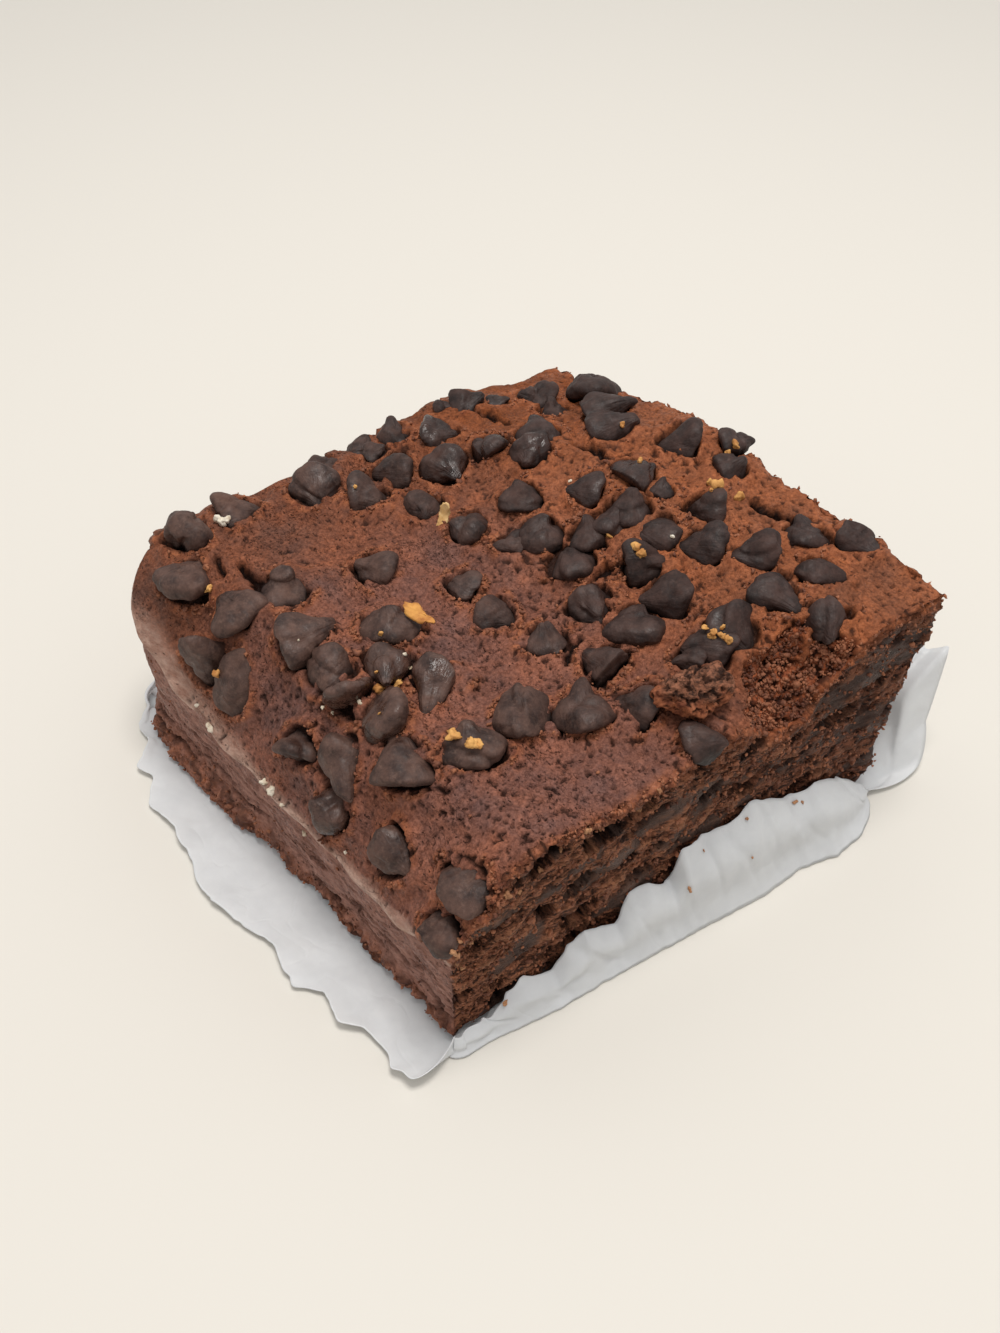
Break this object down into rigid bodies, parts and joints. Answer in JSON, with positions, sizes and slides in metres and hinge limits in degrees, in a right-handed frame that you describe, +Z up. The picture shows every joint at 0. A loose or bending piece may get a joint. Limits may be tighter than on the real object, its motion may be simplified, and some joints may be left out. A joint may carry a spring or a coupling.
{
  "type": "chocolate brownie",
  "caption": "Square bakery brownie with a domed crackled crust studded with chocolate chips, sitting in a fluted white greaseproof paper case.",
  "frame": {"origin": "centre of the footprint, on the surface that it stands on", "axes": "+Z up; +X along the cut front side towards the highest corner; +Y along the side baked against the tin"},
  "size_m": [0.1112, 0.1016, 0.0451],
  "materials": {
    "crust": "matte, crumbly baked crust and crumb",
    "chocolate": "satin dark chocolate",
    "paper": "thin greaseproof paper"
  },
  "bodies": {
    "root": {"brownie": "crust", "chip_01": "chocolate", "chip_02": "chocolate", "chip_03": "chocolate", "chip_04": "chocolate", "chip_05": "chocolate", "chip_06": "chocolate", "chip_07": "chocolate", "chip_08": "chocolate", "chip_09": "chocolate", "chip_10": "chocolate", "chip_11": "chocolate", "chip_12": "chocolate", "chip_13": "chocolate", "chip_14": "chocolate", "chip_15": "chocolate", "chip_16": "chocolate", "chip_17": "chocolate", "chip_18": "chocolate", "chip_19": "chocolate", "chip_20": "chocolate", "chip_21": "chocolate", "chip_22": "chocolate", "chip_23": "chocolate", "chip_24": "chocolate", "chip_25": "chocolate", "chip_26": "chocolate", "chip_27": "chocolate", "chip_28": "chocolate", "chip_29": "chocolate", "chip_30": "chocolate", "chip_31": "chocolate", "chip_32": "chocolate", "chip_33": "chocolate", "chip_34": "chocolate", "chip_35": "chocolate", "chip_36": "chocolate", "chip_37": "chocolate", "chip_38": "chocolate", "chip_39": "chocolate", "chip_40": "chocolate", "chip_41": "chocolate", "chip_42": "chocolate", "chip_43": "chocolate", "chip_44": "chocolate", "chip_45": "chocolate", "chip_46": "chocolate", "chip_47": "chocolate", "chip_48": "chocolate", "chip_49": "chocolate", "chip_50": "chocolate", "chip_51": "chocolate", "chip_52": "chocolate", "chip_53": "chocolate", "chip_54": "chocolate", "chip_55": "chocolate", "chip_56": "chocolate", "chip_57": "chocolate", "chip_58": "chocolate", "paper_case": "paper"}
  },
  "joints": []
}
